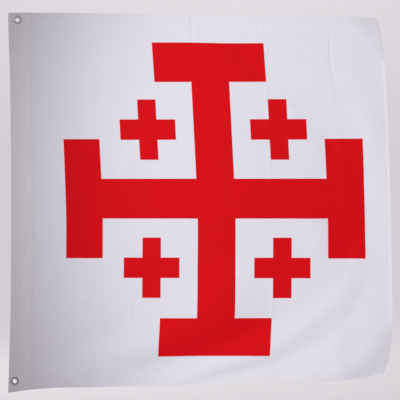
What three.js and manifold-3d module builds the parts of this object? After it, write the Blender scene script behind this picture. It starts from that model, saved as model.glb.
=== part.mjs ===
// A square flag hung face on: a printed field with turned hems, a folded heading tape at the
// hoist, and two pressed metal eyelets.
//
// Millimetres, +Z up. The origin is the middle of the top edge, in the plane of the wall that the flag hangs
// against. The viewer stands on the -Y side, and the hoist is at -X. Places on the cloth are given
// as u, the distance from the hoist edge, and d, the distance down from the top edge.

import * as THREE from 'three';
import { mergeVertices } from 'three/addons/utils/BufferGeometryUtils.js';
import Module from 'manifold-3d';

const wasm = await Module();
wasm.setup();

// Driving dimensions
const flagWidth = 900;
const flagHeight = 900;
const headingWidth = 52;
const headingThick = 3.2;
const leafThick = 0.8;
const tuckDepth = 11;
const clothThick = 1.0;
const hemThick = 1.7;
const hemWidth = 12;
const hemStep = 1;
const fitGap = 0.3;
const eyeletHole = 10;
const eyeletFlange = 20;
const eyeletWall = 0.8;
const flangeThick = 1.0;
const coarseStep = 37;
const fineStep = 21;
const fineFrom = { u: 286, d: 671 };

// The wall is y = 0. The eyelets' back flanges touch it and the tape stands off by a flange and a gap.
const middleY = -(flangeThick + fitGap + headingThick / 2);
const tuckStart = headingWidth - tuckDepth;
const wallRoom = -middleY - hemThick / 2;
const seamEase = 2;

const eyelets = [
  { name: 'eyelet_top', u: 21, d: 17 },
  { name: 'eyelet_bottom', u: 14.5, d: 874.9 },
];

// How far the top edge drops and the bottom edge rises from a true square, going from hoist to fly
const edges = [
  { u: 0, drop: 0, rise: -4 },
  { u: 44, drop: 0, rise: 2.5 },
  { u: 120, drop: 0, rise: 8.5 },
  { u: 290, drop: 1, rise: 11.5 },
  { u: 410, drop: 1.5, rise: 14 },
  { u: 452, drop: 2.5, rise: 16.5 },
  { u: 490, drop: 6, rise: 18.5 },
  { u: 523, drop: 9.5, rise: 21 },
  { u: 570, drop: 10.5, rise: 24 },
  { u: 660, drop: 11, rise: 25 },
  { u: 760, drop: 12, rise: 26.5 },
  { u: 900, drop: 14.5, rise: 37 },
];

// How far the cloth is moved along the wall at each height, at its hoist edge, in its middle and at its fly
// edge, and how far the fly edge stands off the wall there
const drawn = [
  { d: 0, hoist: -5, middle: -27, fly: -31, standOff: 20 },
  { d: 45, hoist: -4, middle: -24, fly: -20, standOff: 22 },
  { d: 170, hoist: 0, middle: -15.5, fly: -11, standOff: 24 },
  { d: 390, hoist: 2, middle: -4, fly: -2.5, standOff: 26 },
  { d: 500, hoist: 2.5, middle: 0, fly: 0, standOff: 26 },
  { d: 710, hoist: 0.5, middle: -1.5, fly: 3.5, standOff: 24 },
  { d: 825, hoist: -2.5, middle: -7.5, fly: -3, standOff: 24 },
  { d: 865, hoist: -4, middle: -10, fly: -11, standOff: 25 },
  { d: 900, hoist: -5, middle: -12, fly: -20, standOff: 27 },
];

// Soft folds, each along a curve that starts at one point, leans to a second and ends at a third. Rise is
// towards the viewer, so a trough has a negative one. Half is the distance at which it has mostly faded.
const folds = [
  { from: [83, 854], lean: [356, 816], to: [575, 620], half: 54, rise: 6.5 },
  { from: [303, 850], lean: [454, 840], to: [651, 714], half: 34, rise: -7.2 },
  { from: [409, 887], lean: [631, 843], to: [792, 659], half: 26, rise: 6.2 },
  { from: [460, 877], lean: [583, 884], to: [706, 795], half: 19, rise: -3.9 },
  { from: [623, 877], lean: [762, 842], to: [870, 593], half: 24, rise: -2.8 },
  { from: [657, 900], lean: [775, 874], to: [813, 678], half: 48, rise: 8.8 },
  { from: [151, 803], lean: [353, 773], to: [460, 695], half: 41, rise: -3.9 },
  { from: [93, 860], lean: [66, 834], to: [213, 893], half: 24, rise: 5.1 },
  { from: [87, 825], lean: [179, 792], to: [283, 738], half: 17, rise: -1.6 },
  { from: [656, 881], lean: [791, 862], to: [823, 738], half: 28, rise: -3.6 },
  { from: [751, 864], lean: [889, 844], to: [860, 707], half: 53, rise: 9.1 },
  { from: [422, 897], lean: [568, 858], to: [687, 756], half: 27, rise: -3.9 },
  { from: [746, 267], lean: [810, 449], to: [785, 606], half: 27, rise: -2.6 },
  { from: [547, 81], lean: [611, 135], to: [737, 169], half: 26, rise: -3.2 },
  { from: [654, 145], lean: [781, 184], to: [871, 270], half: 28, rise: 4.1 },
  { from: [555, 279], lean: [681, 328], to: [769, 404], half: 19, rise: -2.5 },
  { from: [793, 139], lean: [883, 200], to: [864, 318], half: 38, rise: 4.6 },
  { from: [641, 470], lean: [766, 499], to: [725, 577], half: 29, rise: 3.1 },
  { from: [833, 372], lean: [847, 475], to: [849, 562], half: 30, rise: -4.8 },
  { from: [782, 251], lean: [810, 408], to: [766, 613], half: 18, rise: 1.6 },
  { from: [517, 231], lean: [524, 284], to: [606, 302], half: 19, rise: 1.9 },
];

// Sharp creases left by the packing folds, as straight lines across the cloth
const creases = [
  { u: 118, rise: 0.4 },
  { u: 286, rise: 0.6 },
  { u: 454, rise: -0.6 },
  { u: 622, rise: 0.6 },
  { u: 790, rise: -0.8 },
  { d: 220, rise: 0.6 },
  { d: 452, rise: -0.5 },
  { d: 679, rise: 0.8 },
];

// The fly corners fall back from the line that joins a point along the level edge to one on the fly edge, and
// the lower one's tip bends forward again
const corners = [
  { d: 0, along: 82, up: 125, rise: -15, power: 1.6 },
  { d: 900, along: 105, up: 165, rise: -13, power: 1.4 },
  { d: 900, along: 38, up: 22, rise: 10, power: 1 },
];
const creaseHalf = 8;
const bellyRise = 5;
const liftPower = 2.5;
const hoistFade = 120;
const edgeReach = 16;
const flyTurn = { rise: 5, reach: 100, power: 1.5, from: 100, to: 800, fade: 100 };
const flyReach = 5;
const easeIn = 55;
const foldSteps = 60;

const whitePolyester = { color: 0xe4e0e8, roughness: 0.85, metalness: 0 };
const whiteTape = { color: 0xdedae2, roughness: 0.9, metalness: 0 };
const nickelledBrass = { color: 0x8d8490, roughness: 0.4, metalness: 1 };

const lerp = THREE.MathUtils.lerp;
const smoothstep = THREE.MathUtils.smoothstep;

// Value of a table's column at a place, straight between its rows
function along(table, key, at, column) {
  const next = table.findIndex((row) => row[key] >= at);
  if (next === 0) return table[0][column];
  if (next < 0) return table.at(-1)[column];
  const [a, b] = [table[next - 1], table[next]];
  return lerp(a[column], b[column], (at - a[key]) / (b[key] - a[key]));
}

// A fold's middle line as points on its quadratic curve
function foldLine({ from, lean, to }) {
  const curve = new THREE.QuadraticBezierCurve(
    new THREE.Vector2(...from),
    new THREE.Vector2(...lean),
    new THREE.Vector2(...to),
  );
  return curve.getPoints(foldSteps);
}

const foldLines = folds.map((fold) => ({ ...fold, line: foldLine(fold) }));

// A fold's height at a place: a bell across its line, fading out towards both ends
function foldRise({ line, half, rise }, u, d) {
  let best = Infinity;
  let share = 0;
  line.forEach((point, i) => {
    const away = Math.hypot(point.x - u, point.y - d);
    if (away < best) {
      best = away;
      share = i / foldSteps;
    }
  });
  const ends = Math.min(1, 4 * Math.min(share, 1 - share) + 0.35);
  return rise * ends * Math.exp(-((best / half) ** 2));
}

// A crease's height: a straight-sided ridge, or a valley where its rise is negative
function creaseRise(crease, u, d) {
  const away = Math.abs(crease.u === undefined ? d - crease.d : u - crease.u);
  return crease.rise * Math.max(0, 1 - away / creaseHalf);
}

// A bent corner's height: nothing up to its line, and a power of the share of the way from there to the tip
function cornerRise(corner, u, d) {
  const away = (flagWidth - u) / corner.along + Math.abs(corner.d - d) / corner.up;
  return corner.rise * Math.max(0, 1 - away) ** corner.power;
}

// The fly edge turns to the viewer between the corners
function flyTurnRise(u, d) {
  const share = Math.max(0, 1 - (flagWidth - u) / flyTurn.reach);
  const within =
    smoothstep(d, flyTurn.from, flyTurn.from + flyTurn.fade) *
    (1 - smoothstep(d, flyTurn.to - flyTurn.fade, flyTurn.to));
  return flyTurn.rise * share ** flyTurn.power * within;
}

// How far the cloth's middle layer stands off its resting plane, towards the viewer
function standOff(u, d) {
  const fromSeam = u - headingWidth - seamEase;
  if (fromSeam <= 0) return 0;
  const share = u / flagWidth;
  let rise = share ** liftPower * along(drawn, 'd', d, 'standOff');
  rise += bellyRise * Math.sin(Math.PI * share) * Math.sin((Math.PI * d) / flagHeight);
  for (const fold of foldLines) rise += foldRise(fold, u, d);
  for (const crease of creases) rise += creaseRise(crease, u, d);
  for (const corner of corners) rise += cornerRise(corner, u, d);
  rise += flyTurnRise(u, d);
  return Math.max(rise, -wallRoom) * smoothstep(fromSeam, 0, easeIn);
}

// Where a place on the cloth hangs, as x and z
function hang(u, d) {
  const [top, bottom] = [1 - d / flagHeight, d / flagHeight];
  const fromSeam = Math.max(0, u - headingWidth - seamEase);
  const pull = lerp(
    along(drawn, 'd', d, 'middle'),
    along(drawn, 'd', d, 'fly'),
    (u / flagWidth) ** flyReach,
  );
  const bow = along(drawn, 'd', d, 'hoist') * Math.exp(-u / hoistFade);
  const drop = along(edges, 'u', u, 'drop') * top ** edgeReach;
  const rise = along(edges, 'u', u, 'rise') * bottom ** edgeReach;
  return {
    x: u + bow + pull * (1 - Math.exp(-fromSeam / easeIn)) - flagWidth / 2,
    z: -(d + drop - rise),
  };
}

// Thickness of the field: single cloth in the middle and in the tape's tuck, doubled along the hems
function thickness(u, d) {
  if (u <= headingWidth + seamEase) return clothThick;
  const inHem = u >= flagWidth - hemWidth || d <= hemWidth || d >= flagHeight - hemWidth;
  return inHem ? hemThick : clothThick;
}

// Grid lines from start to end: at every stop, and evenly between stops, closer where the folds are
function gridLines(stops, key) {
  const lines = [stops[0]];
  for (let i = 1; i < stops.length; i += 1) {
    const step = stops[i - 1] >= fineFrom[key] ? fineStep : coarseStep;
    const parts = Math.ceil((stops[i] - stops[i - 1]) / step);
    for (let k = 1; k <= parts; k += 1) lines.push(lerp(stops[i - 1], stops[i], k / parts));
  }
  return lines;
}

// Stops at both sides and the middle of each crease that runs one way
function creaseStops(key) {
  return creases
    .filter((crease) => crease[key] !== undefined)
    .flatMap((crease) => [crease[key] - creaseHalf, crease[key], crease[key] + creaseHalf]);
}

// A closed sheet over a grid: front and back layers and the four edges that join them
function sheetGeometry(columns, rows) {
  const positions = [];
  const indices = [];
  const nu = columns.length;
  const nd = rows.length;
  for (const side of [-1, 1]) {
    for (const d of rows) {
      for (const u of columns) {
        const { x, z } = hang(u, d);
        const y = middleY - standOff(u, d) + (side * thickness(u, d)) / 2;
        positions.push(x, y, z);
      }
    }
  }
  const front = (i, j) => j * nu + i;
  const back = (i, j) => nu * nd + front(i, j);
  const quad = (a, b, c, e) => indices.push(a, b, c, a, c, e);
  for (let j = 0; j < nd - 1; j += 1) {
    for (let i = 0; i < nu - 1; i += 1) {
      quad(front(i, j), front(i, j + 1), front(i + 1, j + 1), front(i + 1, j));
      quad(back(i, j), back(i + 1, j), back(i + 1, j + 1), back(i, j + 1));
    }
  }
  for (let i = 0; i < nu - 1; i += 1) {
    quad(front(i, 0), front(i + 1, 0), back(i + 1, 0), back(i, 0));
    quad(back(i, nd - 1), back(i + 1, nd - 1), front(i + 1, nd - 1), front(i, nd - 1));
  }
  for (let j = 0; j < nd - 1; j += 1) {
    quad(back(0, j), back(0, j + 1), front(0, j + 1), front(0, j));
    quad(front(nu - 1, j), front(nu - 1, j + 1), back(nu - 1, j + 1), back(nu - 1, j));
  }
  const geometry = new THREE.BufferGeometry();
  geometry.setAttribute('position', new THREE.Float32BufferAttribute(positions, 3));
  geometry.setIndex(indices);
  return geometry;
}

function fieldGeometry() {
  const acrossStops = [
    tuckStart + fitGap,
    headingWidth + seamEase,
    headingWidth + seamEase + hemStep,
    ...creaseStops('u'),
    flagWidth - hemWidth - hemStep,
    flagWidth - hemWidth,
    flagWidth,
  ];
  const downStops = [
    0,
    hemWidth,
    hemWidth + hemStep,
    ...creaseStops('d'),
    flagHeight - hemWidth - hemStep,
    flagHeight - hemWidth,
    flagHeight,
  ];
  return sheetGeometry(gridLines(acrossStops, 'u'), gridLines(downStops, 'd'));
}

// A geometry as a solid for joining and cutting, with its shared points merged
function solidOf(geometry) {
  const bare = geometry.clone();
  bare.deleteAttribute('normal');
  bare.deleteAttribute('uv');
  const merged = mergeVertices(bare, 1e-4);
  return new wasm.Manifold(
    new wasm.Mesh({
      numProp: 3,
      vertProperties: Float32Array.from(merged.attributes.position.array),
      triVerts: Uint32Array.from(merged.index.array),
    }),
  );
}

function geometryOf(solid) {
  const { vertProperties, triVerts } = solid.getMesh();
  const geometry = new THREE.BufferGeometry();
  geometry.setAttribute('position', new THREE.BufferAttribute(vertProperties, 3));
  geometry.setIndex(new THREE.BufferAttribute(triVerts, 1));
  return geometry;
}

// The tape's section, folded at the hoist edge, with the tuck between its leaves open at the seam
function headingGeometry() {
  const half = headingThick / 2;
  const inner = half - leafThick;
  const section = [
    [0, -half],
    [headingWidth, -half],
    [headingWidth, -inner],
    [tuckStart, -inner],
    [tuckStart, inner],
    [headingWidth, inner],
    [headingWidth, half],
    [0, half],
  ];
  const outline = section.map(([u, y]) => new THREE.Vector2(u, y));
  const caps = THREE.ShapeUtils.triangulateShape(outline, []);
  const rows = gridLines([0, flagHeight], 'd');
  const count = section.length;
  const positions = rows.flatMap((d) =>
    section.flatMap(([u, y]) => {
      const { x, z } = hang(u, d);
      return [x, middleY + y, z];
    }),
  );
  const indices = [];
  for (let j = 0; j < rows.length - 1; j += 1) {
    for (let i = 0; i < count; i += 1) {
      const [a, b] = [j * count + i, j * count + ((i + 1) % count)];
      indices.push(a, a + count, b + count, a, b + count, b);
    }
  }
  const last = (rows.length - 1) * count;
  for (const [a, b, c] of caps) {
    indices.push(a, b, c, last + a, last + c, last + b);
  }
  const geometry = new THREE.BufferGeometry();
  geometry.setAttribute('position', new THREE.Float32BufferAttribute(positions, 3));
  geometry.setIndex(indices);
  let solid = solidOf(geometry);
  const holeRadius = eyeletHole / 2 + eyeletWall + fitGap;
  for (const eyelet of eyelets) {
    const drill = new THREE.CylinderGeometry(holeRadius, holeRadius, 4 * headingThick, 24);
    const { x, z } = hang(eyelet.u, eyelet.d);
    drill.translate(x, middleY, z);
    solid = solid.subtract(solidOf(drill));
  }
  return geometryOf(solid);
}

// A pressed eyelet as a ring of C section: a barrel through the tape, a flat flange on the wall side and
// a rolled flange on the viewer's side
function eyeletGeometry() {
  const bore = eyeletHole / 2;
  const rim = eyeletFlange / 2;
  const barrel = bore + eyeletWall;
  const behind = headingThick / 2 + fitGap;
  const back = behind + flangeThick;
  const profile = [
    [bore, behind],
    [bore + 0.5, back],
    [rim, back],
    [rim, behind],
    [barrel, behind],
    [barrel, -behind],
    [rim, -behind],
    [rim - 0.4, -behind - 0.6],
    [rim - 2, -back],
    [barrel + 0.4, -back + 0.1],
    [bore, -behind],
    [bore, behind],
  ];
  const points = profile.map(([radius, y]) => new THREE.Vector2(radius, y));
  return new THREE.LatheGeometry(points.reverse(), 24);
}

function part(name, geometry, look) {
  const bare = geometry.clone();
  bare.deleteAttribute('normal');
  bare.deleteAttribute('uv');
  const merged = mergeVertices(bare, 1e-4);
  merged.computeVertexNormals();
  const mesh = new THREE.Mesh(merged, new THREE.MeshStandardMaterial(look));
  mesh.name = name;
  return mesh;
}

const flag = new THREE.Group();
flag.name = 'flag';
flag.add(part('field', fieldGeometry(), whitePolyester));
flag.add(part('heading', headingGeometry(), whiteTape));
for (const eyelet of eyelets) {
  const ring = part(eyelet.name, eyeletGeometry(), nickelledBrass);
  const { x, z } = hang(eyelet.u, eyelet.d);
  ring.position.set(x, middleY, z);
  flag.add(ring);
}

export default flag;
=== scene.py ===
# %% [markdown]
# # A square cross flag, hung face on
#
# The object is a printed polyester flag of 90 by 90 cm: a white field with a large red cross potent
# between four small plain crosses, hemmed on three sides, with a folded white tape at its hoist that
# carries two pressed metal eyelets. It hangs flat against a wall, still creased from its packing, and its
# lower fly corner has slumped into soft diagonal folds.
#
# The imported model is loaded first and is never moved: it gives every size and place. Each piece here
# is a surface worked out with numpy in millimetres and put into the mesh in metres. The same two
# numbers name a place on the cloth all the way through: `u`, the distance from the hoist edge, and
# `d`, the distance down from the top edge.

# %% Load the frame
import math

import bpy
import numpy as np
from mathutils import Matrix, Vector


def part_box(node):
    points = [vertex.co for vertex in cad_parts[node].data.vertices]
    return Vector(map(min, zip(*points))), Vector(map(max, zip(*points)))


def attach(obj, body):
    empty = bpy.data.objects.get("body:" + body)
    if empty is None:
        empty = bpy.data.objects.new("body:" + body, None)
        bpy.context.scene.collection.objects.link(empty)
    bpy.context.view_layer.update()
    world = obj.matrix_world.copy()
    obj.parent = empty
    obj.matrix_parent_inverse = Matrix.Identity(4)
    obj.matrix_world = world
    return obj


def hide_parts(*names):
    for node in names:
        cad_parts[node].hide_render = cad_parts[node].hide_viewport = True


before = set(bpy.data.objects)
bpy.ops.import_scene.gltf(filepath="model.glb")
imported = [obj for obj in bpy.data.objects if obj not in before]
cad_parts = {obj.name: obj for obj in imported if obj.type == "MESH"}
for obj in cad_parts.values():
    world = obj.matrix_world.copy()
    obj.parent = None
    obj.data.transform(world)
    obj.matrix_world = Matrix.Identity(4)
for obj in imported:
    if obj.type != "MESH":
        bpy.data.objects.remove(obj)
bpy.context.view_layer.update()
MM = 0.001

# %% [markdown]
# ## The sizes
#
# A flag maker cuts everything from a few sizes, so these come first, in millimetres. The origin of the
# frame is on the wall behind the middle of the top edge, and the viewer stands on the -Y side. The
# cloth's resting plane is where the eyelets hold the tape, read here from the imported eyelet.

# %% Driving sizes in millimetres
FLAG_WIDTH = 900.0
FLAG_HEIGHT = 900.0
TAPE_WIDTH = 52.0
TUCK_DEPTH = 10.0
SEAM_EASE = 2.0
CLOTH_THICK = 0.6
HEM_WIDTH = 12.0
HEM_STITCH = 10.0
STITCH_PITCH = 3.6
SEAM_START, SEAM_END = 4.0, 3.0  # how far from the cloth's edges a line of stitches starts and ends

eyelet_low, eyelet_high = (np.array(corner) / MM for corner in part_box("eyelet_top"))
EYELET_FLANGE = eyelet_high[0] - eyelet_low[0]
REST_Y = (eyelet_low[1] + eyelet_high[1]) / 2
print("eyelet flange:", round(EYELET_FLANGE, 2), "mm; resting plane: y =", round(REST_Y, 2), "mm")

# %% [markdown]
# ## How the flag hangs
#
# A hung sheet could be found by a cloth simulation, but this one is nearly flat and its folds are the
# ones in the picture, so tables hold its shape. The first two say how it departs from a true square.
# One goes from hoist to fly: the top edge dips, and the bottom edge climbs. The other goes down
# the cloth: the hoist edge bows, the middle and the fly edge are drawn towards the hoist near the top
# and the bottom, and the fly edge stands off the wall. Each column is smoothed before it is used,
# because a sheet has no kinks where a table has rows.

# %% The outline's tables
EDGES = np.array(
    [
        # u, the top edge's drop there, the bottom edge's rise there
        (0, 0.0, -4.0),
        (44, 0.0, 2.5),
        (120, 0.0, 8.5),
        (290, 1.0, 11.5),
        (410, 1.5, 14.0),
        (452, 2.5, 16.5),
        (490, 6.0, 18.5),
        (523, 9.5, 21.0),
        (570, 10.5, 24.0),
        (660, 11.0, 25.0),
        (760, 12.0, 26.5),
        (900, 14.5, 37.0),
    ]
)
DRAWN = np.array(
    [
        # d, how far the hoist edge, the middle and the fly edge are moved along x, the fly's stand-off
        (0, -5.0, -27.0, -31.0, 20.0),
        (45, -4.0, -24.0, -20.0, 22.0),
        (170, 0.0, -15.5, -11.0, 24.0),
        (390, 2.0, -4.0, -2.5, 26.0),
        (500, 2.5, 0.0, 0.0, 26.0),
        (710, 0.5, -1.5, 3.5, 24.0),
        (825, -2.5, -7.5, -3.0, 24.0),
        (865, -4.0, -10.0, -11.0, 25.0),
        (900, -5.0, -12.0, -20.0, 27.0),
    ]
)
EDGE_SPREAD, RISE_SPREAD = 15, 12  # mm over which the first table's drop and rise are smoothed
DRAWN_SPREAD, FLY_SPREAD = 30, 12  # and the second table's columns, its fly edge less
HOIST_FADE = 120.0  # the hoist edge's bow fades as exp(-u / fade)
EDGE_REACH = 16  # powers with which the drop and rise fade down the cloth, and the fly's move across it
FLY_REACH = 5
EASE_IN = 55.0  # mm beside the tape in which the cloth leaves the tape's plane
STIFF_WIDTH = 60.0  # the tape and the cloth that it holds straight


def smoothed(table, column, at, spread):
    """A table's column read straight between its rows, averaged over a bell of the given spread in mm."""
    reach = np.arange(-3 * spread, 3 * spread + 1.0)
    bell = np.exp(-((reach / spread) ** 2))
    line = np.arange(-3 * spread, FLAG_WIDTH + 3 * spread + 1.0)
    values = np.interp(line, table[:, 0], table[:, column])
    padded = np.pad(values, len(reach) // 2, mode="edge")
    return np.interp(at, line, np.convolve(padded, bell / bell.sum(), mode="valid"))


def smoothstep(x, low, high):
    """0 below low, 1 above high, and an even S between them."""
    t = np.clip((x - low) / (high - low), 0, 1)
    return t * t * (3 - 2 * t)


# %% [markdown]
# ## The folds and creases
#
# Three kinds of relief show. Soft folds run up to the right across the lower part, and shallower ones
# lie along the fly and over the upper right: each is a bell carried along a curve of three points.
# All but the last fold were fitted by a least-squares program to the light and dark of the cloth in the
# photograph, and most of their heights were then changed.
# Packing creases cross the whole cloth in a grid, because the flag was folded small: each is a narrow
# ridge or valley, stronger in some stretches than in others. And the cloth stands off the wall more and
# more towards the fly, whose edge turns a little to the viewer between corners that fall back.

# %% The relief's tables
FOLDS = [
    # from (u, d), leaning to, ending at, half width, rise towards the viewer
    ((83, 854), (356, 816), (575, 620), 54, 6.5),
    ((303, 850), (454, 840), (651, 714), 34, -7.2),
    ((409, 887), (631, 843), (792, 659), 26, 6.2),
    ((460, 877), (583, 884), (706, 795), 19, -3.9),
    ((623, 877), (762, 842), (870, 593), 24, -2.8),
    ((657, 900), (775, 874), (813, 678), 48, 8.8),
    ((151, 803), (353, 773), (460, 695), 41, -3.9),
    ((93, 860), (66, 834), (213, 893), 24, 5.1),
    ((87, 825), (179, 792), (283, 738), 17, -1.6),
    ((656, 881), (791, 862), (823, 738), 28, -3.6),
    ((751, 864), (889, 844), (860, 707), 53, 9.1),
    ((422, 897), (568, 858), (687, 756), 27, -3.9),
    ((746, 267), (810, 449), (785, 606), 27, -2.6),
    ((547, 81), (611, 135), (737, 169), 26, -3.2),
    ((654, 145), (781, 184), (871, 270), 28, 4.1),
    ((555, 279), (681, 328), (769, 404), 19, -2.5),
    ((793, 139), (883, 200), (864, 318), 38, 4.6),
    ((641, 470), (766, 499), (725, 577), 29, 3.1),
    ((833, 372), (847, 475), (849, 562), 30, -4.8),
    ((782, 251), (810, 408), (766, 613), 18, 1.6),
    ((517, 231), (524, 284), (606, 302), 19, 1.9),
    ((642, 19), (658, 32), (764, 78), 11, 1.7),
    ((675, 214), (670, 226), (696, 254), 14, 1.8),
    ((46, 890), (56, 868), (72, 842), 5, 1.8),
]
CREASES_DOWN = [
    # u at the top, u at the bottom, where it starts and ends down the cloth, rise
    (118, 118, 0, 900, 0.25),
    (284, 286, 0, 620, 0.25),
    (284, 286, 620, 790, 0.5),
    (456, 454, 0, 140, -0.7),
    (624, 622, 0, 860, 0.45),
    (778, 792, 0, 300, -0.6),
    (778, 792, 620, 800, -0.4),
]
CREASES_ACROSS = [
    # d, where it starts and ends across the cloth, rise
    (218, 300, 640, 0.5),
    (452, 54, 160, -0.4),
    (679, 54, 730, 0.6),
]
CORNERS = [
    # the corner's d, how far it reaches along the level edge and up or down the fly, power, rise
    (0, 82, 125, 1.6, -15),
    (900, 105, 165, 1.4, -13),
    (900, 38, 22, 1.0, 10),
]
LIFT_POWER = 2.5  # of the share of the way to the fly, for the stand-off there
BELLY_RISE = 5.0
UNEVEN_RISE = 0.5
WALL_GAP = 1.0  # the middle layer comes no nearer to the wall than this
FOLD_ENDS = 0.35  # the share of a fold's height that is left at its two ends
CREASE_HALF = 3.2
CREASE_LEAN = (100, 350)  # the d between which a leaning crease goes over from its top u to its bottom u

# Along the edges, in mm: how high each feature rises, how far it reaches or fades, and where it comes
# in and goes out along the edge
PUCKER_RISE, PUCKER_FADE = 0.3, 14.0
ROLL_REACH = 7.0
FLY_ROLL, FLY_ROLL_IN, FLY_ROLL_OUT = 1.5, (90, 160), (700, 790)
BOTTOM_ROLL, BOTTOM_ROLL_IN = 0.9, (120, 300)
TOP_TIP, TOP_TIP_FADE, TOP_TIP_IN = 2.2, 9.0, (690, 790)
FLY_TURN, FLY_TURN_REACH, FLY_TURN_POWER = 5.0, 100.0, 1.5
FLY_TURN_IN, FLY_TURN_OUT = (100, 200), (700, 800)


def fold_relief(u, d):
    """The soft folds' height: the sum of bells exp(-(distance / half)^2) across each quadratic curve,
    fading out at the curve's two ends."""
    steps = np.linspace(0, 1, 241)
    rise = np.zeros_like(u)
    for start, lean, end, half, height in FOLDS:
        start, lean, end = (np.array(p, float)[:, None] for p in (start, lean, end))
        line = (1 - steps) ** 2 * start + 2 * steps * (1 - steps) * lean + steps**2 * end
        away = np.full(u.shape, np.inf)
        share = np.zeros_like(u)
        for t, x, y in zip(steps, *line):
            here = np.hypot(u - x, d - y)
            share = np.where(here < away, t, share)
            away = np.minimum(away, here)
        ends = np.minimum(1, 4 * np.minimum(share, 1 - share) + FOLD_ENDS)
        rise += height * ends * np.exp(-((away / half) ** 2))
    return rise


def wander(x, seed, wave, terms=6):
    """A smooth uneven line about 0: a few sines whose waves are around the given one, with phases drawn
    from a seeded generator."""
    draw = np.random.default_rng(seed)
    waves = wave * draw.uniform(0.6, 1.7, terms)
    phases = draw.uniform(0, 2 * np.pi, terms)
    return sum(np.sin(2 * np.pi * x / w + p) for w, p in zip(waves, phases)) / math.sqrt(terms)


def crease_relief(u, d):
    """The packing creases' height: narrow bells across straight lines, uneven along their length."""
    rise = np.zeros_like(u)
    for n, (top, bottom, start, end, height) in enumerate(CREASES_DOWN):
        middle = top + (bottom - top) * smoothstep(d, *CREASE_LEAN) + 0.6 * wander(d, 20 + n, 210)
        present = smoothstep(d, start - 40, start) * (1 - smoothstep(d, end - 60, end))
        uneven = 1 + 0.4 * wander(d, 40 + n, 150)
        rise += height * present * uneven * np.exp(-(((u - middle) / CREASE_HALF) ** 2))
    for n, (at, start, end, height) in enumerate(CREASES_ACROSS):
        middle = at + 1.5 * wander(u, 60 + n, 190)
        present = smoothstep(u, start - 30, start + 30) * (1 - smoothstep(u, end - 40, end + 20))
        uneven = 1 + 0.4 * wander(u, 80 + n, 140)
        rise += height * present * uneven * np.exp(-(((d - middle) / CREASE_HALF) ** 2))
    return rise


def corner_relief(u, d):
    """The bent corners' height: 0 up to the line that joins a corner's reach along one edge to its reach
    along the other, and from there to the tip the share of the way to the given power."""
    rise = np.zeros_like(u)
    for corner, along, up, power, height in CORNERS:
        share = 1 - (FLAG_WIDTH - u) / along - np.abs(corner - d) / up
        rise += height * np.maximum(0, share) ** power
    return rise


def edge_relief(u, d):
    """The edges' own relief: shallow puckers along each sewn hem, hems whose very edge turns to the light,
    a top hem that tips forward near the fly, and a fly edge turned to the viewer."""
    top, bottom, fly = d, FLAG_HEIGHT - d, FLAG_WIDTH - u
    pucker = wander(u, 3, 26) * (np.exp(-top / PUCKER_FADE) + np.exp(-bottom / PUCKER_FADE))
    pucker += wander(d, 4, 28) * np.exp(-fly / PUCKER_FADE)
    roll = smoothstep(d, *FLY_ROLL_IN) * (1 - smoothstep(d, *FLY_ROLL_OUT))
    roll *= FLY_ROLL * smoothstep(-fly, -ROLL_REACH, 0)
    roll += BOTTOM_ROLL * smoothstep(-bottom, -ROLL_REACH, 0) * smoothstep(u, *BOTTOM_ROLL_IN)
    tip = TOP_TIP * np.exp(-top / TOP_TIP_FADE) * smoothstep(u, *TOP_TIP_IN)
    turn = smoothstep(d, *FLY_TURN_IN) * (1 - smoothstep(d, *FLY_TURN_OUT))
    turn *= FLY_TURN * np.maximum(0, 1 - fly / FLY_TURN_REACH) ** FLY_TURN_POWER
    return PUCKER_RISE * pucker + roll + tip + turn


def stand_off(u, d):
    """How far the cloth's middle layer stands off its resting plane, in mm: it lifts as a power of the
    distance from the hoist, and the belly, folds, creases, edges and corners are added. It eases in from
    the seam, and the wall stops it behind."""
    share = u / FLAG_WIDTH
    rise = share**LIFT_POWER * smoothed(DRAWN, 4, d, DRAWN_SPREAD)
    rise += BELLY_RISE * np.sin(np.pi * share) * np.sin(np.pi * d / FLAG_HEIGHT)
    rise += UNEVEN_RISE * wander(0.8 * u + 0.6 * d, 7, 170) * wander(0.5 * u - d, 8, 210)
    rise += fold_relief(u, d) + crease_relief(u, d) + edge_relief(u, d) + corner_relief(u, d)
    wall_room = -REST_Y - WALL_GAP
    return np.maximum(rise, -wall_room) * smoothstep(u - TAPE_WIDTH - SEAM_EASE, 0, EASE_IN)


def hang(u, d):
    """Where a place on the cloth hangs, as x and z in mm: the middle and the fly edge are drawn by their
    columns, the hoist edge by its own, fading as exp(-u / fade), and the top and bottom edges' drop and
    rise fade as a power of the distance. Under the stiff tape the rise is not smoothed."""
    from_seam = np.maximum(0, u - TAPE_WIDTH - SEAM_EASE)
    fly = (u / FLAG_WIDTH) ** FLY_REACH
    pull = (1 - fly) * smoothed(DRAWN, 2, d, DRAWN_SPREAD) + fly * smoothed(DRAWN, 3, d, FLY_SPREAD)
    bow = smoothed(DRAWN, 1, d, DRAWN_SPREAD) * np.exp(-u / HOIST_FADE)
    drop = smoothed(EDGES, 1, u, EDGE_SPREAD) * (1 - d / FLAG_HEIGHT) ** EDGE_REACH
    straight = np.interp(u, EDGES[:, 0], EDGES[:, 2])
    rise = np.where(u < STIFF_WIDTH, straight, smoothed(EDGES, 2, u, RISE_SPREAD))
    rise = rise * (d / FLAG_HEIGHT) ** EDGE_REACH
    x = u + bow + pull * (1 - np.exp(-from_seam / EASE_IN)) - FLAG_WIDTH / 2
    return x, -(d + drop - rise)


def cloth_point(u, d):
    """The cloth's middle layer at (u, d) as an array of (x, y, z) in mm."""
    x, z = hang(u, d)
    return np.stack([x, REST_Y - stand_off(u, d), z], -1)


middle_of_fly = cloth_point(np.array([900.0]), np.array([450.0]))[0]
print("fly edge at half height stands", round(-middle_of_fly[1], 1), "mm off the wall")

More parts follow.
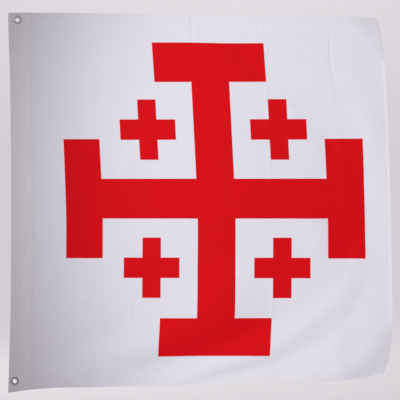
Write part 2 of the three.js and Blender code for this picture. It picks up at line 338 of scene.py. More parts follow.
# %% [markdown]
# ## Putting arrays into a mesh
#
# Every piece goes through one function. It takes points in millimetres, faces as rows of corner numbers,
# and, where a pattern has to follow the cloth, a UV for each point.

# %% The mesh helper


def make_piece(name, points, faces, uv=None):
    """A smooth-shaded mesh object at the origin, from points in mm, faces as one or more arrays of corner
    numbers, and an optional (u, v) for each point."""
    mesh = bpy.data.meshes.new(name)
    rows = [row for block in faces for row in np.asarray(block).tolist()]
    mesh.from_pydata((np.asarray(points) * MM).tolist(), [], rows)
    if uv is not None:
        layer = mesh.uv_layers.new(name="cloth")
        corners = np.empty(len(mesh.loops), int)
        mesh.loops.foreach_get("vertex_index", corners)
        layer.data.foreach_set("uv", np.asarray(uv, float)[corners].ravel())
    mesh.polygons.foreach_set("use_smooth", np.full(len(mesh.polygons), True))
    mesh.update()
    piece = bpy.data.objects.new(name, mesh)
    bpy.context.scene.collection.objects.link(piece)
    print(f"{name}: {len(mesh.vertices)} points, {len(mesh.polygons)} faces")
    return piece


def grid_faces(rows, columns, wrap_rows=False, wrap_columns=False):
    """The quads of a grid whose points are numbered row by row, closed round either way if asked."""
    i = np.arange(rows if wrap_rows else rows - 1)[:, None]
    j = np.arange(columns if wrap_columns else columns - 1)[None, :]
    below, right = (i + 1) % rows, (j + 1) % columns
    corners = (i * columns + j, below * columns + j, below * columns + right, i * columns + right)
    return np.stack(np.broadcast_arrays(*corners), -1).reshape(-1, 4)


# %% [markdown]
# ## The field
#
# The field is one piece of cloth with its hems turned to the back and sewn. It could be a plane with a
# Solidify modifier, but the hems are thicker than the rest and lie behind, so both layers are
# computed: the front and the back are the same grid moved apart along the cloth's normal by the
# thickness there, and four strips close the edges. Grid lines crowd together at the creases and hems,
# where the surface turns quickly, and spread out in between.

# %% Grid lines


def grid_lines(start, end, plain_step, busy):
    """Positions from start to end, plain_step apart, and closer in each busy stretch of (low, high, step)."""
    stops, steps = [start], []
    for low, high, step in sorted(busy):
        stops += [max(low, start), min(high, end)]
        steps += [plain_step, step]
    stops.append(end)
    steps.append(plain_step)
    lines = [np.array([start])]
    for low, high, step in zip(stops, stops[1:], steps):
        if high - low > 0.01:
            lines.append(np.linspace(low, high, max(1, round((high - low) / step)) + 1)[1:])
    return np.concatenate(lines)


PLAIN_STEP, SEAM_STEP, CREASE_STEP, HEM_STEP = 5.6, 2.0, 1.7, 1.3
BESIDE_CREASE = 7
LEANING_CREASE = (771, 799)
hem_busy = HEM_WIDTH + 2
columns = grid_lines(
    TAPE_WIDTH - TUCK_DEPTH,
    FLAG_WIDTH,
    PLAIN_STEP,
    [(*LEANING_CREASE, CREASE_STEP)]
    + [(u - BESIDE_CREASE, u + BESIDE_CREASE, CREASE_STEP) for u in (118, 285, 455, 623)]
    + [(TAPE_WIDTH - 2, TAPE_WIDTH + 6, SEAM_STEP), (FLAG_WIDTH - hem_busy, FLAG_WIDTH, HEM_STEP)],
)
rows = grid_lines(
    0.0,
    FLAG_HEIGHT,
    PLAIN_STEP,
    [(0, hem_busy, HEM_STEP), (FLAG_HEIGHT - hem_busy, FLAG_HEIGHT, HEM_STEP)]
    + [(d - BESIDE_CREASE, d + BESIDE_CREASE, CREASE_STEP) for d, *_ in CREASES_ACROSS],
)
print("field grid:", len(rows), "by", len(columns))

# %% The field's two layers
HEM_FRONT, HEM_BACK = 0.18, 0.55
DIMPLE_DEEP, DIMPLE_HALF = 0.16, 1.1
SEAM_INSIDE, SEAM_OUTSIDE, SEAM_FADE = 0.14, 0.16, 6.0


def layer_offsets(u, d):
    """Half thicknesses (front, back) in mm: one layer of cloth, two more along the hems, mostly behind, a
    dimple along the stitch line on both faces, rounded edges, and a fuller front beside the tape's seam."""
    inward = np.minimum(np.minimum(d, FLAG_HEIGHT - d), FLAG_WIDTH - u)
    hem = 1 - smoothstep(inward, HEM_WIDTH - 0.8, HEM_WIDTH + 0.4)
    hem = hem * smoothstep(u, TAPE_WIDTH + 1, TAPE_WIDTH + 5)
    dimple = DIMPLE_DEEP * hem * np.exp(-(((inward - HEM_STITCH) / DIMPLE_HALF) ** 2))
    edge = 0.5 + 0.5 * smoothstep(inward, 0, 0.9)
    fuller = SEAM_INSIDE * smoothstep(u, TAPE_WIDTH - 6, TAPE_WIDTH - 2)
    fuller = fuller + SEAM_OUTSIDE * smoothstep(u, TAPE_WIDTH, TAPE_WIDTH + 2)
    fuller = fuller * np.exp(-((np.maximum(0, u - TAPE_WIDTH) / SEAM_FADE) ** 2))
    front = (CLOTH_THICK / 2 + HEM_FRONT * hem - dimple) * edge + fuller
    back = (CLOTH_THICK / 2 + HEM_BACK * hem - dimple) * edge
    return front, back


def cloth_map(u, d):
    """The UV map's place for each (u, d), as shares of the flag's width and height from the lower left."""
    return np.stack([u / FLAG_WIDTH, 1 - d / FLAG_HEIGHT], -1).reshape(-1, 2)


def surface_normals(points):
    """Unit normals of a grid of points, from the cross product of its two directions, facing the viewer."""
    down = np.gradient(points, axis=0)
    across = np.gradient(points, axis=1)
    normal = np.cross(down, across)
    return normal / np.linalg.norm(normal, axis=-1, keepdims=True)


def make_field():
    """The field as one closed mesh, its front, back and edge faces wearing slots 0, 1 and 0, with its rim
    kept crisp in the shading."""
    u, d = np.meshgrid(columns, rows)
    middle = cloth_point(u, d)
    normal = surface_normals(middle)
    front, back = layer_offsets(u, d)
    layers = [middle + normal * front[..., None], middle - normal * back[..., None]]
    count = u.size
    quads = grid_faces(*u.shape)
    number = np.arange(count).reshape(u.shape)
    rim = np.concatenate([number[0, :-1], number[:-1, -1], number[-1, :0:-1], number[:0:-1, 0]])
    ahead = np.roll(rim, -1)
    edge = np.stack([rim, ahead, ahead + count, rim + count], -1)
    uv = cloth_map(u, d)
    piece = make_piece(
        "flag_field",
        np.concatenate([layer.reshape(-1, 3) for layer in layers]),
        [quads, quads[:, ::-1] + count, edge],
        np.concatenate([uv, uv]),
    )
    slots = np.zeros(2 * len(quads) + len(edge), int)
    slots[len(quads) : 2 * len(quads)] = 1
    piece.data.polygons.foreach_set("material_index", slots)
    on_rim = np.isin(np.arange(2 * count) % count, rim)
    ends = np.empty(2 * len(piece.data.edges), int)
    piece.data.edges.foreach_get("vertices", ends)
    ends = ends.reshape(-1, 2)
    same_layer = (ends[:, 0] < count) == (ends[:, 1] < count)
    piece.data.edges.foreach_set("use_edge_sharp", on_rim[ends].all(1) & same_layer)
    return piece


flag_field = make_field()

# %% [markdown]
# ## The heading tape
#
# At the hoist a white tape is folded in two lengthways over the field's raw edge and sewn through. Its
# section is carried down the whole height: two leaves joined at the fold, pressed together along
# three lines of stitching, and parted at the seam where the field goes in between them.

# %% The tape's section and sweep
LEAF_THICK = 0.5
LEAF_FULL = 0.12
TUCK_FULL, EDGE_THINNER, EDGE_BEVEL = 0.34, 0.36, 3.0
PINCH_DEEP, PINCH_HALF = 0.13, 1.6
INSIDE_CLOSED, INSIDE_OPEN = 0.05, 0.40
FOLD_RADIUS = 1.2
TAPE_STITCHES = (7.5, 25.0, 47.5)
TAPE_ROWS, LEAF_COLUMNS = 240, 58


def in_tuck(u):
    """1 where the field lies between the leaves and 0 behind it."""
    return smoothstep(u, TAPE_WIDTH - TUCK_DEPTH - 5, TAPE_WIDTH - TUCK_DEPTH + 1)


def tape_half(u, d):
    """Half the tape's thickness: the tuck parts the leaves, their edge thins out, stitch lines press them
    together, and the rest is slightly full and uneven."""
    half = LEAF_THICK + LEAF_FULL + TUCK_FULL * in_tuck(u)
    half = half - EDGE_THINNER * smoothstep(u, TAPE_WIDTH - EDGE_BEVEL, TAPE_WIDTH)
    for n, line in enumerate(TAPE_STITCHES):
        pinch = PINCH_DEEP + 0.05 * wander(d, 11 + n, 11)
        half = half - pinch * np.exp(-(((u - line) / PINCH_HALF) ** 2))
    return half + 0.04 * wander(d + 0.4 * u, 15, 46)


def tape_inside(u):
    """Half the space between the leaves, wide enough for the field at the seam and closing behind it."""
    return INSIDE_CLOSED + INSIDE_OPEN * in_tuck(u)


def make_tape():
    """The folded tape as a closed sweep: its section runs up the front leaf, round the fold, along the back
    leaf, and back on the inside of both."""
    turn = np.linspace(0, np.pi, 11)
    leaf = np.linspace(TAPE_WIDTH, FOLD_RADIUS, LEAF_COLUMNS)
    front, back = -np.ones(LEAF_COLUMNS), np.ones(LEAF_COLUMNS)
    out_u = np.concatenate([leaf, FOLD_RADIUS * (1 - np.sin(turn[1:-1])), leaf[::-1]])
    out_side = np.concatenate([front, -np.cos(turn[1:-1]), back])
    in_u = np.concatenate([leaf, leaf[::-1]])
    in_side = np.concatenate([back, front])
    down = np.linspace(0, FLAG_HEIGHT, TAPE_ROWS)[:, None]
    outer = tape_half(out_u, down) * out_side
    inner = np.broadcast_to(tape_inside(in_u) * in_side, (TAPE_ROWS, len(in_u)))
    u = np.broadcast_to(np.concatenate([out_u, in_u]), (TAPE_ROWS, len(out_u) + len(in_u)))
    d = np.broadcast_to(down, u.shape)
    x, z = hang(u, d)
    x = x + 0.5 * wander(d, 17, 260) * (1 - u / TAPE_WIDTH)
    points = np.stack([x, REST_Y + np.concatenate([outer, inner], 1), z], -1)
    count = u.shape[1]
    quads = grid_faces(TAPE_ROWS, count, wrap_columns=True)[:, ::-1]
    top = np.arange(count)[None, :]
    bottom = top[:, ::-1] + (TAPE_ROWS - 1) * count
    return make_piece("heading_tape", points.reshape(-1, 3), [quads, top, bottom], cloth_map(u, d))


heading_tape = make_tape()

# %% [markdown]
# The eyelets need real holes in both leaves. A hole in a swept grid would need its own grid around it,
# so it is punched as the maker does it: by a Boolean with a round punch, applied straight away.

# %% Punch the tape
EYELETS = {name: (np.add(*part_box(name)) / 2 / MM) for name in ("eyelet_top", "eyelet_bottom")}
EYELET_BORE = 5.0
BARREL_WALL = 0.8
PUNCH_ROOM = 0.1
PUNCH_ENDS = (-12.0, 6.0)


def disc_ring(radius, y, centre, steps):
    """A ring of points about a centre in the cloth's plane, at one depth."""
    angle = np.linspace(0, 2 * np.pi, steps, endpoint=False)
    ring = np.stack([radius * np.cos(angle), np.full(steps, y), radius * np.sin(angle)], -1)
    return ring + np.array([centre[0], 0, centre[2]])


def punch(piece, centre, radius):
    """Cuts a round hole right through a piece, along Y."""
    steps = 48
    points = np.concatenate([disc_ring(radius, y, centre, steps) for y in PUNCH_ENDS])
    sides = grid_faces(2, steps, wrap_columns=True)[:, ::-1]
    ring = np.arange(steps)[None, :]
    cutter = make_piece("punch", points, [sides, ring, ring[:, ::-1] + steps])
    cut = piece.modifiers.new("hole", "BOOLEAN")
    cut.operation, cut.solver, cut.object = "DIFFERENCE", "EXACT", cutter
    evaluated = piece.evaluated_get(bpy.context.evaluated_depsgraph_get())
    punched = bpy.data.meshes.new_from_object(evaluated)
    piece.modifiers.clear()
    piece.data = punched
    bpy.data.objects.remove(cutter)


for centre in EYELETS.values():
    punch(heading_tape, centre, EYELET_BORE + BARREL_WALL + PUNCH_ROOM)
print("tape after punching:", len(heading_tape.data.polygons), "faces")

# %% [markdown]
# ## The eyelets
#
# A pressed eyelet is a barrel pushed through the hole and rolled over a washer. It is a profile turned
# about the hole's axis: a wide smooth roll on the viewer's side, and a flatter washer behind.

# %% The eyelets' profile, turned


def eyelet_profile():
    """Radius and depth in mm along the eyelet's section: a half-round roll in front, the barrel inside it,
    and a flat washer with a rounded rim behind."""
    rim, bore = EYELET_FLANGE / 2, EYELET_BORE
    grip = LEAF_THICK + 0.14
    roll = np.linspace(0, np.pi, 22)
    middle, reach = (rim + bore) / 2, (rim - bore) / 2
    front = np.stack([middle + reach * np.cos(roll), -grip - 0.15 - 1.15 * np.sin(roll) ** 0.75], -1)
    washer = np.array([(bore + 0.15, grip + 0.45), (bore + 0.7, grip + 0.85), (rim - 0.5, grip + 0.8)])
    rim_back = np.array([(rim - 0.1, grip + 0.5), (rim - 0.1, grip + 0.2), (rim - 0.4, grip)])
    inside = np.array([(bore + BARREL_WALL, grip), (bore + BARREL_WALL, -grip), (rim - 0.3, -grip)])
    return np.concatenate([front, washer, rim_back, inside])


def make_eyelet(name, centre, steps=72):
    """The profile turned about the hole's axis: x = r cos a, z = r sin a, with its depth along y."""
    profile = eyelet_profile()
    angle = np.linspace(0, 2 * np.pi, steps, endpoint=False)[:, None]
    radius, depth = profile[:, 0], profile[:, 1]
    x = centre[0] + radius * np.cos(angle)
    z = centre[2] + radius * np.sin(angle)
    y = np.broadcast_to(REST_Y + depth, x.shape)
    faces = grid_faces(steps, len(profile), wrap_rows=True, wrap_columns=True)
    return make_piece(name, np.stack([x, y, z], -1).reshape(-1, 3), [faces])


eyelet_rings = {name: make_eyelet(name + "_ring", centre) for name, centre in EYELETS.items()}

# %% [markdown]
# ## The stitching
#
# Lockstitch shows as short threads that sink into the cloth at both ends. Each stitch is a small spindle
# of a few dozen faces, laid along the cloth's surface, and all the stitches of a piece are one joined
# mesh made from arrays.

# %% Stitches along lines
STITCH_LONG = 2.9
STITCH_RADIUS = 0.34
STITCH_SUNK = 0.05
STITCH_SIDES = 6


def stitch_line(u, d, side):
    """Middles, directions and outward normals of the stitches along a line of places, on the side
    towards the viewer (1) or the wall (-1)."""
    step = 0.5
    here = cloth_point(u, d)
    across = cloth_point(u + step, d) - cloth_point(u - step, d)
    down = cloth_point(u, d + step) - cloth_point(u, d - step)
    normal = np.cross(down, across)
    normal /= np.linalg.norm(normal, axis=-1, keepdims=True)
    front, back = layer_offsets(u, d)
    on_tape = u < TAPE_WIDTH
    proud = np.where(on_tape, tape_half(np.minimum(u, TAPE_WIDTH), d), front if side > 0 else back)
    along = np.gradient(here, axis=0)
    along /= np.linalg.norm(along, axis=-1, keepdims=True)
    return here + side * normal * (proud - STITCH_SUNK)[:, None], along, side * normal


def stitches(name, lines):
    """All the stitches of some lines as one mesh: spindles with radius r = R sqrt(1 - t^2) along t."""
    middle, along, normal = (np.concatenate(part) for part in zip(*lines))
    share = np.array([-1.0, -0.6, 0.0, 0.6, 1.0])
    swell = np.sqrt(1 - share**2) * 0.94 + 0.06
    angle = np.linspace(0, 2 * np.pi, STITCH_SIDES, endpoint=False)
    side = np.cross(along, normal)
    ring = normal[:, None, None] * np.sin(angle)[None, None, :, None]
    ring = ring + side[:, None, None] * np.cos(angle)[None, None, :, None]
    points = middle[:, None, None] + along[:, None, None] * (share * STITCH_LONG / 2)[None, :, None, None]
    points = points + ring * (swell * STITCH_RADIUS)[None, :, None, None]
    count = len(share) * len(angle)
    shell = grid_faces(len(share), len(angle), wrap_columns=True)
    end = np.arange(STITCH_SIDES)[None, :]
    caps = [end, end[:, ::-1] + count - STITCH_SIDES]
    shift = np.arange(len(middle))[:, None, None] * count
    blocks = [(block[None] + shift).reshape(-1, block.shape[-1]) for block in (shell, *caps)]
    return make_piece(name, points.reshape(-1, 3), blocks)


def down_line(u, side):
    """A line of stitches down the whole cloth at one distance from the hoist."""
    d = np.arange(SEAM_START, FLAG_HEIGHT - SEAM_END, STITCH_PITCH)
    return stitch_line(np.full_like(d, u), d, side)


def across_line(d, side):
    """A line of stitches from the tape to the fly edge at one distance down."""
    u = np.arange(TAPE_WIDTH + SEAM_START, FLAG_WIDTH - SEAM_END, STITCH_PITCH)
    return stitch_line(u, np.full_like(u, d), side)


tape_lines = [down_line(u, side) for u in TAPE_STITCHES for side in (1, -1)]
hem_lines = [
    line
    for side in (1, -1)
    for line in (
        across_line(HEM_STITCH, side),
        across_line(FLAG_HEIGHT - HEM_STITCH, side),
        down_line(FLAG_WIDTH - HEM_STITCH, side),
    )
]
tape_stitches = stitches("tape_stitches", tape_lines)
hem_stitches = stitches("hem_stitches", hem_lines)

# %% [markdown]
# ## Materials
#
# Each finish starts from what the real one is. Colours are written as sRGB hex values and turned to
# linear by one function, and one small function adds a node with its settings and links.

# %% Colour and node helpers


def linear(hex_colour):
    """An sRGB hex colour as linear (r, g, b, 1)."""
    srgb = np.array([int(hex_colour[i : i + 2], 16) for i in (1, 3, 5)]) / 255
    low, high = srgb / 12.92, ((srgb + 0.055) / 1.055) ** 2.4
    return (*np.where(srgb <= 0.04045, low, high).tolist(), 1.0)


def add(tree, kind, inputs=None, **settings):
    """Adds a node to the tree with its settings, each input set to a value or linked to an output."""
    node = tree.nodes.new("ShaderNode" + kind)
    for key, value in settings.items():
        setattr(node, key, value)
    for key, value in (inputs or {}).items():
        if isinstance(value, bpy.types.NodeSocket):
            tree.links.new(value, node.inputs[key])
        else:
            node.inputs[key].default_value = value
    return node


def maths(tree, operation, first, second=0.0):
    """The output of a Math node: one operation on one or two values or outputs."""
    return add(tree, "Math", {0: first, 1: second}, operation=operation).outputs[0]


def remap(tree, value, low, high, new_low, new_high, **settings):
    """An output's range from low to high, stretched to run from new_low to new_high."""
    stretch = {0: value, 1: low, 2: high, 3: new_low, 4: new_high}
    return add(tree, "MapRange", stretch, **settings).outputs[0]


def blend(tree, share, first, second):
    """A colour between two hex ones, by a share from 0 to 1."""
    mix = add(tree, "Mix", {0: share, 6: linear(first), 7: linear(second)}, data_type="RGBA")
    return mix.outputs[2]


def finish(material, shader):
    """Wires a shader to the material's output, and gives the material back."""
    tree = material.node_tree
    tree.links.new(shader.outputs[0], tree.nodes["Material Output"].inputs["Surface"])
    return material


def new_material(name):
    """An empty material and its node tree, with the output node kept."""
    material = bpy.data.materials.new(name)
    material.use_nodes = True
    tree = material.node_tree
    for node in list(tree.nodes):
        if node.type != "OUTPUT_MATERIAL":
            tree.nodes.remove(node)
    return material, tree


# %% [markdown]
# ### The print
#
# The red cross is printed on the field, so its pattern has to bend with the cloth. It is measured in
# millimetres on the flat cloth, from the UV map. A straight-edged figure like this needs no
# picture: the distance to a bar is the larger of `|x| - half width` and `|y| - half height`, the
# distance to several bars is the smallest of theirs, and the ink lies where that is below 0. The
# figure is symmetric, so it is worked out in one quarter, with |x| and |y|.

# %% The print's sizes in millimetres
ARM_LONG, STEM_LONG = 708.0, 749.7
ARM_HIGH, STEM_WIDE = 94.5, 89.6
SIDE_BAR_HIGH, SIDE_BAR_WIDE = 283.0, 87.7
END_BAR_WIDE = 264.5
SMALL_WIDE, SMALL_HIGH = 132.4, 143.5
SMALL_STEM, SMALL_ARM = 43.8, 48.6
SMALL_ACROSS, SMALL_DOWN = 154.6, 163.9
INK_BLEED = 0.5

# The print went on in three passes, each with its own middle: the arms, the stem, and the small crosses.
# Each bar is given by the middle of its quarter copy and its half sizes.
PASSES = [
    (
        (487.0, 442.3),
        [
            (0, 0, ARM_LONG / 2, ARM_HIGH / 2),
            (ARM_LONG / 2 - SIDE_BAR_WIDE / 2, 0, SIDE_BAR_WIDE / 2, SIDE_BAR_HIGH / 2),
        ],
    ),
    (
        (491.2, 445.8),
        [
            (0, 0, STEM_WIDE / 2, STEM_LONG / 2),
            (0, STEM_LONG / 2 - ARM_HIGH / 2, END_BAR_WIDE / 2, ARM_HIGH / 2),
        ],
    ),
    (
        (491.8, 442.4),
        [
            (SMALL_ACROSS, SMALL_DOWN, SMALL_WIDE / 2, SMALL_ARM / 2),
            (SMALL_ACROSS, SMALL_DOWN, SMALL_STEM / 2, SMALL_HIGH / 2),
        ],
    ),
]


def cloth_millimetres(tree):
    """The place on the flat cloth as two outputs in mm, from the piece's own UV map."""
    place = add(tree, "UVMap", uv_map="cloth").outputs["UV"]
    split = add(tree, "SeparateXYZ", {0: place})
    u = maths(tree, "MULTIPLY", split.outputs[0], FLAG_WIDTH)
    down = maths(tree, "SUBTRACT", 1.0, split.outputs[1])
    return u, maths(tree, "MULTIPLY", down, FLAG_HEIGHT)


def ink(tree, u, d):
    """1 where the red ink lies and 0 elsewhere, with an edge that has bled slightly into the threads."""
    distances = []
    for middles, bars in PASSES:
        quarter = [
            maths(tree, "ABSOLUTE", maths(tree, "SUBTRACT", place, middle))
            for place, middle in zip((u, d), middles)
        ]
        for across, down, half_wide, half_high in bars:
            sides = []
            for place, middle, half in zip(quarter, (across, down), (half_wide, half_high)):
                away = maths(tree, "ABSOLUTE", maths(tree, "SUBTRACT", place, float(middle)))
                sides.append(maths(tree, "SUBTRACT", away, half))
            distances.append(maths(tree, "MAXIMUM", *sides))
    nearest = distances[0]
    for bar in distances[1:]:
        nearest = maths(tree, "MINIMUM", nearest, bar)
    place = add(tree, "CombineXYZ", {0: u, 1: d})
    fray = add(tree, "TexNoise", {"Vector": place.outputs[0], "Scale": 0.9, "Detail": 1.0})
    uneven = remap(tree, fray.outputs[0], 0.3, 0.7, -INK_BLEED, INK_BLEED)
    edge = maths(tree, "ADD", nearest, uneven)
    return remap(tree, edge, -INK_BLEED, INK_BLEED, 1.0, 0.0, interpolation_type="SMOOTHSTEP")


# %% [markdown]
# ### Woven polyester
#
# Flag cloth is filament polyester, plain woven at about 0.4 mm and heat set. It is matt white with a
# faint cool tint, passes some light, and its threads vary a little, which gives faint streaks both
# ways. The real thread spacing is far finer than a pixel of this view, so the weave is drawn at
# 0.6 mm, only as bump, and the streaks carry the cloth's grain at a distance.

# %% The cloth material
WHITE_CLOTH = "#EEEFF6"
RED_INK = "#E20010"
RED_THROUGH = "#E42430"
THREAD_DRAWN = 0.6
THREAD_SQUEEZE = 0.012
STREAK_SCALE = 0.3
STREAK_TONES = (0.968, 1.0)
LIGHT_THROUGH = 0.12


def weave_height(tree, u, d, pitch):
    """A plain weave's height, threads over and under by turns: sin(pi u / pitch) * sin(pi d / pitch)."""
    waves = [maths(tree, "SINE", maths(tree, "MULTIPLY", place, math.pi / pitch)) for place in (u, d)]
    return maths(tree, "MULTIPLY", *waves)


def streaks(tree, u, d, along_u, scale):
    """Thread-to-thread unevenness: noise squeezed across the threads and drawn out along them."""
    squeeze = (THREAD_SQUEEZE, 1.0) if along_u else (1.0, THREAD_SQUEEZE)
    parts = [maths(tree, "MULTIPLY", place, share * scale) for place, share in zip((u, d), squeeze)]
    place = add(tree, "CombineXYZ", {0: parts[0], 1: parts[1]})
    return add(tree, "TexNoise", {"Vector": place.outputs[0], "Scale": 1.0, "Detail": 2.0}).outputs[0]


def woven_polyester(name, red):
    """Printed flag cloth, with red as the ink's colour on this face."""
    material, tree = new_material(name)
    u, d = cloth_millimetres(tree)
    base = blend(tree, ink(tree, u, d), WHITE_CLOTH, red)
    both_ways = [streaks(tree, u, d, along_u, STREAK_SCALE) for along_u in (True, False)]
    tone = remap(tree, maths(tree, "ADD", *both_ways), 0.6, 1.4, *STREAK_TONES)
    colour = add(
        tree, "Mix", {0: 1.0, 6: base, 7: tone}, data_type="RGBA", blend_type="MULTIPLY"
    ).outputs[2]
    height = weave_height(tree, u, d, THREAD_DRAWN)
    bump = add(tree, "Bump", {"Height": height, "Strength": 0.06, "Distance": 0.0001}).outputs[0]
    cloth = add(
        tree,
        "BsdfPrincipled",
        {
            "Base Color": colour,
            "Roughness": 0.78,
            "IOR": 1.5,
            "Specular IOR Level": 0.15,
            "Sheen Weight": 0.03,
            "Sheen Roughness": 0.5,
            "Normal": bump,
        },
    )
    through = add(tree, "BsdfTranslucent", {"Color": colour, "Normal": bump})
    mixed = add(tree, "MixShader", {0: LIGHT_THROUGH, 1: cloth.outputs[0], 2: through.outputs[0]})
    return finish(material, mixed)


flag_field.data.materials.append(woven_polyester("printed_polyester_front", RED_INK))
flag_field.data.materials.append(woven_polyester("printed_polyester_back", RED_THROUGH))

# %% [markdown]
# ### Herringbone tape, thread and nickelled brass
#
# The heading is a close woven white polyester tape, stiffer and slightly greyer than the field: its
# twill ribs are bump. The sewing thread is spun polyester, a soft white. The eyelets are brass sheet,
# pressed and nickel plated, dulled by handling: their plating is satin, with finer and duller patches.

# %% The tape, thread and metal materials
RIB_TURN, RIB_PITCH = 6.0, 1.6
TAPE_TONES = ("#E9E5EC", "#EFECF2")
THREAD_TONES = ("#E2DEE8", "#F6F4FA")
NICKEL_TONES = ("#A9A2A8", "#C4BEC4")


def herringbone_tape():
    """White twill tape: ribs slanting at 45 degrees that turn back every 6 mm, as bump, with a soft tone."""
    material, tree = new_material("herringbone_tape")
    u, d = cloth_millimetres(tree)
    slant = maths(tree, "ADD", maths(tree, "PINGPONG", u, RIB_TURN), d)
    height = maths(tree, "SINE", maths(tree, "MULTIPLY", slant, 2 * math.pi / RIB_PITCH))
    bump = add(tree, "Bump", {"Height": height, "Strength": 0.3, "Distance": 0.0003})
    tone = remap(tree, streaks(tree, u, d, False, 0.7), 0.3, 0.7, 0.0, 1.0)
    tape = add(
        tree,
        "BsdfPrincipled",
        {
            "Base Color": blend(tree, tone, *TAPE_TONES),
            "Roughness": 0.85,
            "Specular IOR Level": 0.3,
            "Sheen Weight": 0.1,
            "Normal": bump.outputs[0],
        },
    )
    return finish(material, tape)


def sewing_thread():
    """Spun polyester thread: soft white, with a fine uneven tone along the seams."""
    material, tree = new_material("spun_polyester_thread")
    place = add(tree, "TexCoord").outputs["Object"]
    fuzz = add(tree, "TexNoise", {"Vector": place, "Scale": 900.0, "Detail": 2.0}).outputs[0]
    colour = blend(tree, fuzz, *THREAD_TONES)
    thread = add(tree, "BsdfPrincipled", {"Base Color": colour, "Roughness": 0.7, "Sheen Weight": 0.2})
    return finish(material, thread)


def nickelled_brass():
    """Nickel plated brass sheet, pressed: satin grey with duller patches and a fine grain in its gloss."""
    material, tree = new_material("nickelled_brass")
    place = add(tree, "TexCoord").outputs["Object"]
    patches = add(tree, "TexNoise", {"Vector": place, "Scale": 260.0, "Detail": 4.0}).outputs[0]
    bump = add(tree, "Bump", {"Height": patches, "Strength": 0.12, "Distance": 0.0002})
    metal = add(
        tree,
        "BsdfPrincipled",
        {
            "Base Color": blend(tree, patches, *NICKEL_TONES),
            "Metallic": 1.0,
            "Roughness": remap(tree, patches, 0.3, 0.7, 0.55, 0.4),
            "Normal": bump.outputs[0],
        },
    )
    return finish(material, metal)


heading_tape.data.materials.clear()
heading_tape.data.materials.append(herringbone_tape())
thread = sewing_thread()
tape_stitches.data.materials.append(thread)
hem_stitches.data.materials.append(thread)
brass = nickelled_brass()
for ring in eyelet_rings.values():
    ring.data.materials.append(brass)

# %% [markdown]
# ## Riding on the frame
#
# The model has one body, so every piece rides on it. Four visible pieces stand for the imported solids,
# which stay hidden. Each piece is listed with the slot of its solid, and the stitches with the slot of
# the cloth that they are sewn in, but only the riding is done here.

# %% Ride and replace
for piece, slot in (
    (flag_field, "cloth"),
    (hem_stitches, "cloth"),
    (heading_tape, "tape"),
    (tape_stitches, "tape"),
    *((ring, "eyelet") for ring in eyelet_rings.values()),
):
    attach(piece, "root")
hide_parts("field")
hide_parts("heading")
for name, ring in eyelet_rings.items():
    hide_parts(name)

# %% [markdown]
# ## Stage, light and camera
#
# The flag hangs in a plain round studio: a pale floor that turns up into a pale wall, far enough away
# to stay out of every view of the object. A soft-edged beam falls on it from the left and a little
# above, so the folds shade as in the picture. One lamp lights the far wall, a weak one stands behind
# the flag, and the pale surroundings fill the shadows. The camera faces the flag square on, with a
# fairly long lens, so that the square keeps its straight edges.

# %% The studio
FLOOR_Z = -1300.0
STUDIO_RADIUS = 6000.0
STUDIO_HEIGHT = 5200.0
COVE = 1200.0


def make_studio(steps=96):
    """A floor disc with a quarter-round cove up to a round wall: a profile turned about Z."""
    bend = np.linspace(0, np.pi / 2, 13)
    radius = np.concatenate([[1.0, 1500.0], STUDIO_RADIUS - COVE + COVE * np.sin(bend), [STUDIO_RADIUS]])
    height = np.concatenate([[0.0, 0.0], COVE - COVE * np.cos(bend), [STUDIO_HEIGHT]]) + FLOOR_Z
    angle = np.linspace(0, 2 * np.pi, steps, endpoint=False)[:, None]
    level = np.broadcast_to(height, (steps, len(radius)))
    points = np.stack([radius * np.cos(angle), radius * np.sin(angle), level], -1)
    faces = grid_faces(steps, len(radius), wrap_rows=True)
    return make_piece("studio", points.reshape(-1, 3), [faces])


def studio_paint():
    """Matt emulsion: a pale grey-white with the faint mottle of a rolled wall."""
    material, tree = new_material("matt_studio_paint")
    place = add(tree, "TexCoord").outputs["Object"]
    mottle = add(tree, "TexNoise", {"Vector": place, "Scale": 1.5, "Detail": 2.0}).outputs[0]
    colour = blend(tree, mottle, "#F0EDEF", "#F3F0F2")
    return finish(material, add(tree, "BsdfPrincipled", {"Base Color": colour, "Roughness": 0.95}))


studio = make_studio()
studio.data.materials.append(studio_paint())

# %% The light
world = bpy.data.worlds.new("studio_world")
world.use_nodes = True
world.node_tree.nodes["Background"].inputs["Color"].default_value = linear("#F4ECF4")
world.node_tree.nodes["Background"].inputs["Strength"].default_value = 0.405
scene = bpy.context.scene
scene.world = world
scene.view_settings.view_transform = "Standard"
FLAG_MIDDLE = np.array([0.0, 0.0, -FLAG_HEIGHT / 2]) * MM


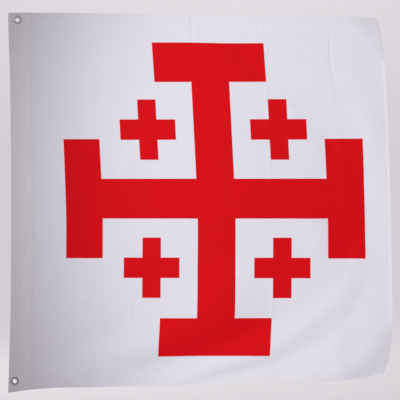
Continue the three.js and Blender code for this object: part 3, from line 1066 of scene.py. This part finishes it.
def aim(thing, place, target):
    """Puts a lamp or camera at a place in metres, looking at a target."""
    back = np.asarray(place, float) - np.asarray(target, float)
    back /= np.linalg.norm(back)
    right = np.cross([0, 0, 1], back)
    right /= np.linalg.norm(right)
    turn = np.stack([right, np.cross(back, right), back, place], 1)
    thing.matrix_world = Matrix([*turn.tolist(), [0, 0, 0, 1]])


def link_aimed(name, data, place, target):
    """Adds a lamp's or camera's object to the scene at a place, looking at a target."""
    thing = bpy.data.objects.new(name, data)
    scene.collection.objects.link(thing)
    aim(thing, place, target)
    return thing


def beam_lamp(name, target, away, left, up, half_angle, soft_share, power, radius=0.12):
    """A round beam at a target from so many metres away, and so many degrees to the left of and above
    straight on. The outer soft_share of the beam fades out."""
    data = bpy.data.lights.new(name, "SPOT")
    data.energy, data.shadow_soft_size = power, radius
    data.spot_size, data.spot_blend = 2 * math.radians(half_angle), soft_share
    side, lift = math.radians(left), math.radians(up)
    back = np.array([-math.sin(side) * math.cos(lift), -math.cos(side) * math.cos(lift), math.sin(lift)])
    link_aimed(name, data, np.asarray(target) + away * back, target)


def soft_lamp(name, place, target, size, power):
    """A square area lamp of a size in metres."""
    data = bpy.data.lights.new(name, "AREA")
    data.shape, data.size, data.energy = "SQUARE", size, power
    link_aimed(name, data, place, target)


# The key lamp's aim, direction, spread and power were fitted by least squares to how the white cloth's
# brightness falls away to the sides in the photograph.
beam_lamp(
    "key_lamp",
    target=(1.46, 0.0, -0.663),
    away=5.2,
    left=47.8,
    up=15.9,
    half_angle=20.78,
    soft_share=0.524,
    power=504.0,
)
soft_lamp("wall_lamp", (0.0, 1.8, 3.2), (0.0, 5.6, 1.0), 2.4, 105.0)
soft_lamp("back_lamp", (-1.2, 2.6, 0.9), FLAG_MIDDLE, 1.2, 14.0)

# %% The camera
FRAME_PIXELS = 400
MM_PER_PIXEL = 2.37
LENS, SENSOR = 85.0, 36.0
VIEW_MIDDLE = np.array([1.5, -12.0, -445.5]) * MM

camera_data = bpy.data.cameras.new("camera")
camera_data.lens, camera_data.sensor_width = LENS, SENSOR
distance = FRAME_PIXELS * MM_PER_PIXEL * MM * LENS / SENSOR
camera_place = VIEW_MIDDLE + np.array([0, -distance, 0])
scene.camera = link_aimed("camera", camera_data, camera_place, VIEW_MIDDLE)
print("camera stands", round(distance, 2), "m from the flag")
